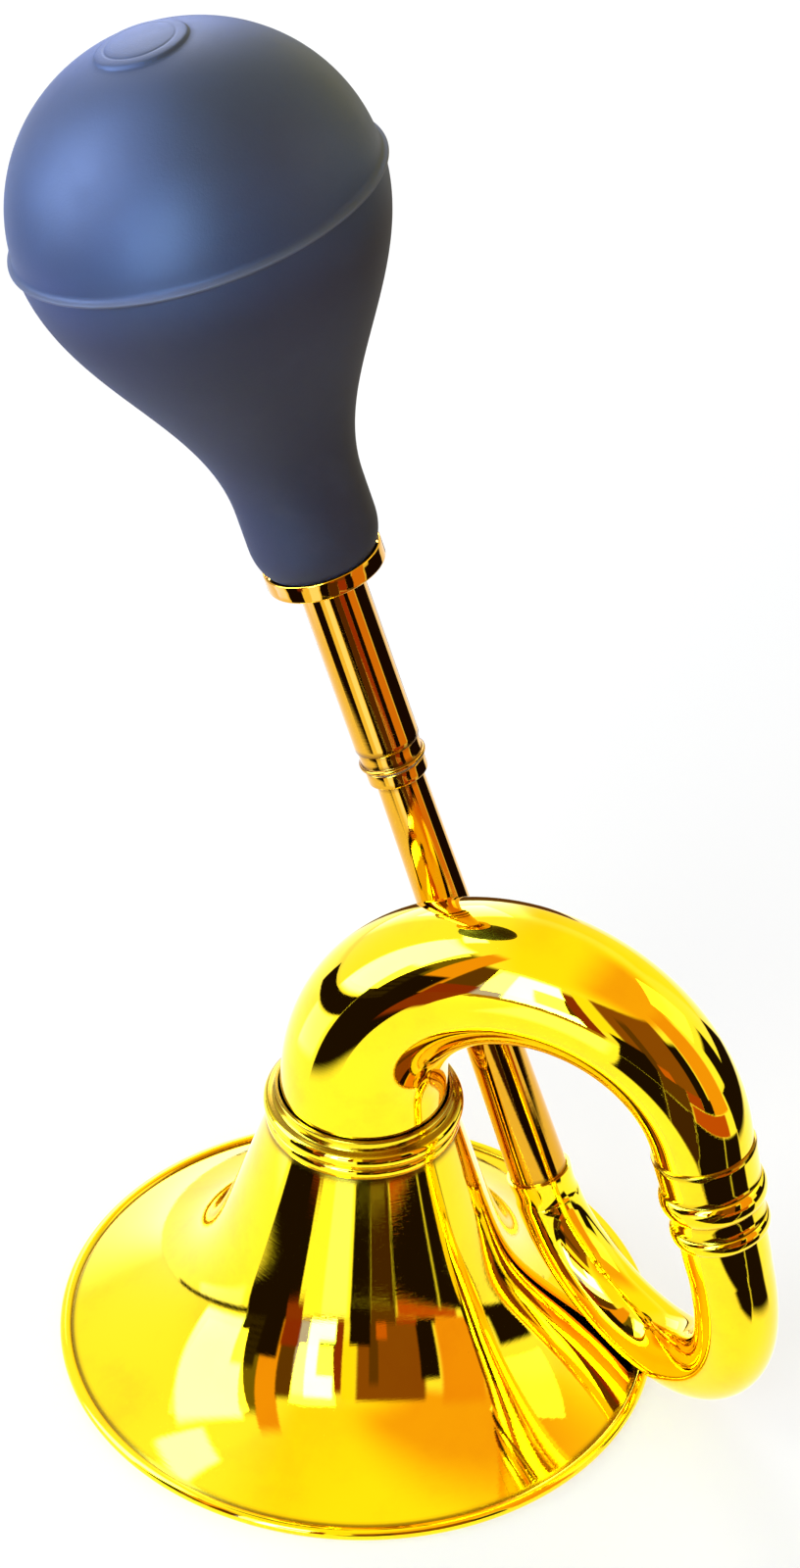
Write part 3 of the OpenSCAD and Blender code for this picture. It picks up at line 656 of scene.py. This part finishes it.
def tanned_leather(name):
    """Brown leather with a fine grain, for the washer."""
    f = Finish(bpy.data.materials.new(name))
    grain = f.noise(f.place(), 900, 4, 0.6)
    colour = f.mix(f.band(grain, 0.35, 0.65), (0.10, 0.05, 0.025, 1), (0.22, 0.12, 0.06, 1))
    return f.close(Base_Color=colour, Roughness=0.6 + grain * 0.25, Normal=f.bump(grain, 0.0001, 0.6))


def drawn_steel(name):
    """Drawn steel wire, for the rim."""
    f = Finish(bpy.data.materials.new(name))
    streak = f.noise(f.place(), 500, 3)
    colour = f.mix(f.band(streak, 0.3, 0.7), (0.42, 0.42, 0.43, 1), (0.60, 0.60, 0.61, 1))
    return f.close(Base_Color=colour, Metallic=1.0, Roughness=0.28 + streak * 0.15)


def coat(piece, material):
    """Makes this the piece's only material."""
    piece.data.materials.clear()
    piece.data.materials.append(material)


spun_brass = polished_brass("spun_brass")
ferrule_brass = polished_brass("ferrule_brass", FERRULE, BOW_LEAN)
# the pipe, its rings, the barrel and the cup get a browner brass all over
tube_brass = polished_brass("tube_brass", PIPE, PIPE_LEAN, brown_share=0.8)
bent_brass = polished_brass("bent_brass", lines=0.1)
bulb_rubber = satin_rubber("bulb_rubber")

for make, node, body, brass in (
    (make_bell, "bell", "horn", spun_brass),
    (make_neck_ferrule, "neck_ferrule", "horn", spun_brass),
    (make_main_bow, "main_bow", "horn", bent_brass),
    (make_bow_ferrule, "bow_ferrule", "horn", ferrule_brass),
    (make_lower_bow, "lower_bow", "horn", bent_brass),
    (make_lead_pipe, "lead_pipe", "horn", tube_brass),
    (make_pipe_ring, "pipe_ring", "horn", tube_brass),
    (make_barrel_ring, "barrel_ring", "barrel", tube_brass),
    (make_barrel, "barrel", "barrel", tube_brass),
    (make_bulb_cup, "bulb_cup", "barrel", tube_brass),
):
    piece = make()
    coat(piece, brass)
    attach(piece, body)
    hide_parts(node)

bulb = make_bulb()
coat(bulb, bulb_rubber)
tuple(on_pipe(CUP_FLOOR + 22) * MM)
tuple(on_pipe(SEAM - 2) * MM)
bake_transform(bulb)
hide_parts("bulb_base", "bulb_dome")

# Pieces that stay as packed
inner_brass = polished_brass("inner_brass", PIPE, PIPE_LEAN, lines=0.5)
kept = {"rim_wire": drawn_steel("rim_wire_steel"), "joint_washer": tanned_leather("washer_leather")}
for name in ("spigot", "reed_block", "reed_shallot", "reed_wedge", "reed_tongue", "bulb_nipple"):
    kept[name] = inner_brass
for name, material in kept.items():
    coat(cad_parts[name], material)


# Stage: pale floor, white surroundings, soft lamps, and boards that only reflections show
WHITE = (1, 1, 1, 1)
COOL = (0.92, 0.96, 1.0)
PALE_COOL = (0.96, 0.98, 1.0)
FLOOR_MIRRORED = (1.4, 1.4, 1.4, 1)  # the floor's glow where the brass mirrors it
FLOOR_GLOW = 0.62  # share of glow in the floor that is seen or mirrored
ROOM_LIGHT = 0.55  # strength of the surroundings where they light the horn
ROOM_SHOWN = 1.2  # and where they are seen or mirrored
FLOOR_Z = -0.0002
MAT_Z = 0.0004
UPPER_MAT_Z = 0.0006
WALL_FOOT = 0.03


def make_floor():
    """Wide pale floor, part paint and part glow."""
    deselect()
    bpy.ops.mesh.primitive_plane_add(size=12, location=(0, 0, FLOOR_Z))
    floor = bpy.context.object
    floor.name = "floor"
    f = Finish(bpy.data.materials.new("pale_floor"))
    pale = f.node("ShaderNodeBsdfDiffuse", values={"Color": (0.88, 0.88, 0.87, 1)})
    seen = f.node("ShaderNodeLightPath", out="Is Camera Ray")
    mirrored = f.node("ShaderNodeLightPath", out="Is Glossy Ray")
    glow = f.node("ShaderNodeEmission", values={"Color": f.mix(mirrored, WHITE, FLOOR_MIRRORED)})
    share = (seen + mirrored) * FLOOR_GLOW
    coat(floor, f.end(f.node("ShaderNodeMixShader", values={0: share, 1: pale, 2: glow})))


def make_surroundings():
    """White all round, stronger where it is seen or mirrored than where it lights the horn."""
    world = bpy.data.worlds.new("surroundings")
    bpy.context.scene.world = world
    f = Finish(world)
    rays = [f.node("ShaderNodeLightPath", out=ray)
            for ray in ("Is Camera Ray", "Is Glossy Ray", "Is Transmission Ray")]
    shown = rays[0] + rays[1] + rays[2]
    strength = f.node("ShaderNodeMapRange", {"clamp": True}, {0: shown, 3: ROOM_LIGHT, 4: ROOM_SHOWN})
    sky = f.node("ShaderNodeBackground", values={"Color": WHITE, "Strength": strength})
    f.end(sky, "ShaderNodeOutputWorld")


def spot(azimuth, distance, height):
    """Point round the object: azimuth 0 lies towards -Y, 90 towards +X."""
    a = math.radians(azimuth)
    return Vector((math.sin(a) * distance, -math.cos(a) * distance, height))


def make_lamp(name, azimuth, distance, height, size, power, colour=(1, 1, 1), aim=(0, 0, 0.18)):
    """A soft rectangular lamp, aimed at a point of the horn."""
    lamp = bpy.data.lights.new(name, "AREA")
    lamp.shape = "RECTANGLE"
    lamp.size, lamp.size_y = size
    lamp.energy = power
    lamp.color = colour
    holder = bpy.data.objects.new(name, lamp)
    bpy.context.scene.collection.objects.link(holder)
    holder.location = spot(azimuth, distance, height)
    holder.rotation_euler = (Vector(aim) - holder.location).to_track_quat("-Z", "Y").to_euler()


def board_paint(name, tone, soft):
    """Glowing paint of a board, faded out over a soft share of its width and length."""
    f = Finish(bpy.data.materials.new(name))
    sheet = f.node("ShaderNodeTexCoord", out="UV")
    across = f.node("ShaderNodeSeparateXYZ", values={0: sheet}, out="X")
    along = f.node("ShaderNodeSeparateXYZ", values={0: sheet}, out="Y")
    sides = f.band(across, 0, soft) * f.band(1 - across, 0, soft)
    ends = f.band(along, 0, soft) * f.band(1 - along, 0, soft)
    clear = f.node("ShaderNodeBsdfTransparent")
    paint = f.node("ShaderNodeEmission", values={"Color": (*tone, 1)})
    f.owner.cycles.emission_sampling = "NONE"
    return f.end(f.node("ShaderNodeMixShader", values={0: sides * ends, 1: clear, 2: paint}))


def mirror_only(board, tone, soft):
    """Paints a board, and leaves it to the polish of the horn alone."""
    coat(board, board_paint(board.name, tone, soft))
    board.visible_camera = False
    board.visible_diffuse = False
    board.visible_shadow = False
    board.visible_transmission = False


def make_board(name, turn, span, spread, tone, soft):
    """A board curved round the horn through degrees of turn, each of its points placed by spread."""
    deselect()
    bpy.ops.mesh.primitive_grid_add(x_subdivisions=24, y_subdivisions=12, size=1)
    board = bpy.context.object
    board.name = name
    for v in board.data.vertices:
        azimuth = turn[0] + (turn[1] - turn[0]) * (v.co.x + 0.5)
        v.co = spread(azimuth, span[0] + (span[1] - span[0]) * (v.co.y + 0.5))
    mirror_only(board, tone, soft)


def make_mat(name, turn, span, height, tone, soft):
    """A mat just above the floor, through a span of metres from the bell's axis."""
    make_board(name, turn, span, lambda azimuth, reach: spot(azimuth, reach, height), tone, soft)


def make_wall(name, turn, span, distance, tone, soft):
    """A wall or post at a distance from the bell's axis, through a span of degrees of height."""
    def spread(azimuth, degrees):
        rise = math.radians(degrees)
        return spot(azimuth, distance * math.cos(rise), WALL_FOOT + distance * math.sin(rise))

    make_board(name, turn, span, spread, tone, soft)


def make_ceiling(name, middle, size, tone, soft):
    """A flat board overhead."""
    deselect()
    bpy.ops.mesh.primitive_plane_add(size=1, location=middle)
    board = bpy.context.object
    board.name = name
    board.scale = (*size, 1)
    mirror_only(board, tone, soft)


make_floor()
make_surroundings()
make_lamp("front_window", -4.5, 1.15, 0.60, (0.50, 0.80), 8, COOL, aim=(0, 0, 0.05))
make_lamp("left_window", -64, 1.25, 0.72, (0.74, 1.15), 10, PALE_COOL, aim=(0, 0, 0.05))
make_lamp("back_window", -143, 1.2, 0.72, (0.5, 0.6), 8, COOL, aim=(0, 0, 0.2))
make_lamp("right_fill", 120, 1.5, 1.1, (0.8, 0.8), 3)

# Tones of the boards, dark ones first
BLACK = (0.012, 0.006, 0.003)
SHADE = (0.03, 0.02, 0.008)
DARK_UMBER = (0.055, 0.022, 0.008)
UMBER = (0.12, 0.05, 0.012)
OLIVE = (0.18, 0.14, 0.04)
BROWN = (0.26, 0.09, 0.03)
ROSE = (0.26, 0.045, 0.015)
DEEP_ROSE = (0.26, 0.035, 0.012)
RED_BROWN = (0.26, 0.04, 0.012)
TAN = (0.42, 0.24, 0.08)
RUSSET = (0.42, 0.07, 0.02)
WARM_RUSSET = (0.55, 0.10, 0.02)
BRIGHT_RUSSET = (0.62, 0.15, 0.03)
COPPER = (0.92, 0.40, 0.09)
AMBER = (0.98, 0.52, 0.12)
HONEY = (1.25, 1.10, 0.24)
GLOW = (1.6, 1.9, 6)
BACK_GLOW = (1.5, 2.2, 6)
SASH_BLUE = (0.55, 0.60, 14)
PANE = (8, 13, 28)
FRONT_PANE = (13, 31, 62)

# Mats on the floor, mirrored by the throat and as the dark bands of the bows
for name, turn, span, height, tone, soft in (
    ("left_mat", (-56, -20), (0.17, 2.6), MAT_Z, BLACK, 0.02),
    ("far_left_mat", (-108, -55), (0.57, 2.6), MAT_Z, BLACK, 0.02),
    ("left_glow_mat", (-93, -58), (0.21, 0.56), MAT_Z, GLOW, 0.12),
    ("centre_mat", (-17, 13), (1.0, 2.6), MAT_Z, TAN, 0.05),
    ("front_glow_mat", (-5, 15), (0.21, 0.92), MAT_Z, GLOW, 0.12),
    ("right_mat_a", (16, 31), (0.17, 0.48), MAT_Z, BLACK, 0.06),
    ("right_mat_b", (29, 49), (0.17, 0.48), MAT_Z, DARK_UMBER, 0.05),
    ("right_mat_c", (47, 80), (0.17, 0.40), MAT_Z, BLACK, 0.06),
    ("side_mat", (78, 104), (0.18, 0.40), MAT_Z, BLACK, 0.12),
    ("rose_mat", (-28.5, -16.5), (0.33, 2.6), UPPER_MAT_Z, ROSE, 0.05),
    ("far_black_mat", (16, 31), (0.44, 2.6), MAT_Z, BLACK, 0.02),
    ("far_brown_mat", (30, 49), (0.44, 2.6), MAT_Z, UMBER, 0.02),
    ("far_russet_mat", (48, 92), (0.38, 0.74), MAT_Z, WARM_RUSSET, 0.06),
    ("farther_russet_mat", (48, 63), (0.73, 2.6), MAT_Z, RUSSET, 0.03),
    ("far_umber_mat", (62, 76), (0.73, 2.6), MAT_Z, BLACK, 0.02),
    ("far_copper_mat", (75, 100), (0.73, 2.6), MAT_Z, COPPER, 0.03),
    ("back_mat", (102, 156), (0.30, 2.6), MAT_Z, BLACK, 0.03),
    ("far_back_mat", (186, 214), (0.22, 1.6), MAT_Z, UMBER, 0.05),
):
    make_mat(name, turn, span, height, tone, soft)

for name, turn, span, distance, tone, soft in (
    # walls and posts, mirrored from the throat's foot outwards
    ("brown_edge", (-50, -39), (-14, 53), 2.2, OLIVE, 0.10),
    ("black_edge", (-57, -41), (-14, 29), 2.15, SHADE, 0.12),
    ("copper_wall", (-41, -26), (-14, 62), 2.3, COPPER, 0.10),
    ("low_wall_a", (-52, -28), (-14, 20), 2.15, BLACK, 0.08),
    ("rose_wall", (-29, -16), (-14, 12), 2.15, DEEP_ROSE, 0.10),
    ("umber_post", (-28, -17), (-14, 44), 2.2, UMBER, 0.10),
    ("front_bar", (-4, 9), (5, 27), 2.2, UMBER, 0.12),
    ("russet_post", (7, 13), (-14, 39), 2.2, RED_BROWN, 0.12),
    ("honey_post", (12, 22), (2, 44), 2.25, HONEY, 0.15),
    ("brown_wall", (20, 66), (-14, 42), 2.3, BROWN, 0.07),
    ("low_wall_b", (16, 31), (-14, 9), 2.15, BLACK, 0.08),
    ("russet_panel", (34, 42), (-14, 6), 2.15, BRIGHT_RUSSET, 0.10),
    ("umber_panel", (29, 36), (-14, 33), 2.2, UMBER, 0.15),
    ("black_post", (61, 74), (-14, 30), 2.2, BLACK, 0.10),
    ("copper_post", (73, 102), (-14, 46), 2.3, COPPER, 0.12),
    ("back_post", (112, 134), (-14, 18), 2.2, BLACK, 0.12),
    ("back_wall", (150, 200), (-14, 34), 2.3, HONEY, 0.15),
    # window panes, bluer and brighter than the lamps
    ("left_pane", (-84, -47), (0, 54), 2.4, PANE, 0.07),
    ("upper_pane", (-95, -70), (54, 65), 2.4, PANE, 0.15),
    ("front_pane", (-11, 8), (-14, 41), 2.4, FRONT_PANE, 0.07),
    ("front_sash", (-18, -10), (-14, 41), 2.35, SASH_BLUE, 0.10),
    ("back_pane", (-168, -122), (-14, 44), 2.4, BACK_GLOW, 0.3),
):
    make_wall(name, turn, span, distance, tone, soft)
make_ceiling("honey_ceiling", (0.9, 0, 2.5), (4.4, 7.0), HONEY, 0.2)
make_ceiling("amber_ceiling", (1.95, 0.0, 2.4), (3.4, 5.6), AMBER, 0.3)

bpy.context.scene.view_settings.view_transform = "Standard"
